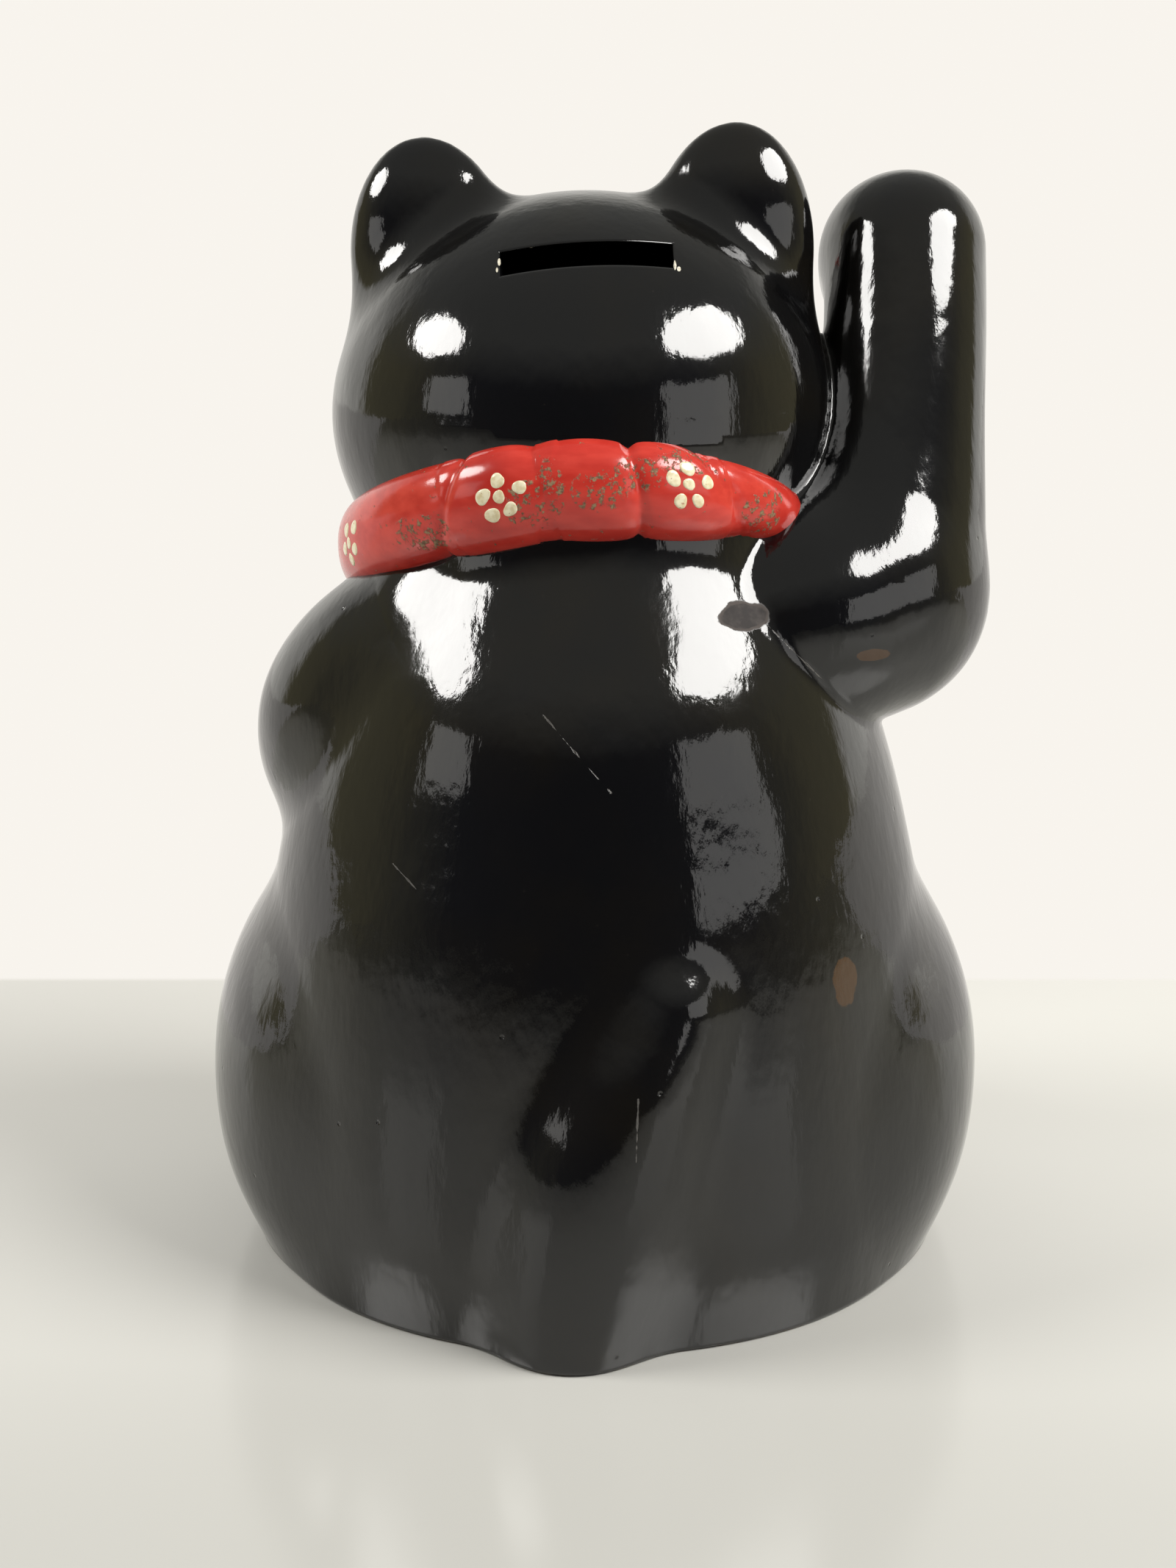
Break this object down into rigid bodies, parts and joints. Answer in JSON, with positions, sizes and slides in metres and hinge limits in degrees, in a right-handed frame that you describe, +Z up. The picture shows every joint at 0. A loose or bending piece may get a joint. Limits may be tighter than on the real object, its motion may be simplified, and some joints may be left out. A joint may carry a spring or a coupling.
{
  "type": "beckoning cat figurine",
  "caption": "Seated beckoning cat coin bank in black glazed ceramic, one paw raised, coin slot in the back of the head, red collar, pull-out stopper underneath.",
  "frame": {"origin": "on the ground, under the middle of the figure's bounding box", "axes": "+Z up; the cat looks along -Y, so its raised right paw is on -X and its tail on +Y"},
  "size_m": [0.208, 0.2009, 0.2997],
  "materials": {
    "black_glaze": "gloss",
    "red_enamel": "gloss",
    "gold_enamel": "worn gilt",
    "bare_clay": "unglazed",
    "black_rubber": "matt"
  },
  "bodies": {
    "figure": {"body_shell": "black_glaze", "head_shell": "black_glaze", "raised_arm": "black_glaze", "lowered_arm": "black_glaze", "tail": "black_glaze", "left_ear": "black_glaze", "right_ear": "black_glaze", "left_foot": "black_glaze", "right_foot": "black_glaze", "collar": "red_enamel", "bell": "gold_enamel", "koban": "gold_enamel", "base_plate": "bare_clay"},
    "stopper": {"stopper": "black_rubber"}
  },
  "joints": [
    {"name": "stopper_pull", "type": "slide", "parent": "figure", "child": "stopper", "axis": [0, 0, -1], "range_m": [0, 0.04]}
  ]
}
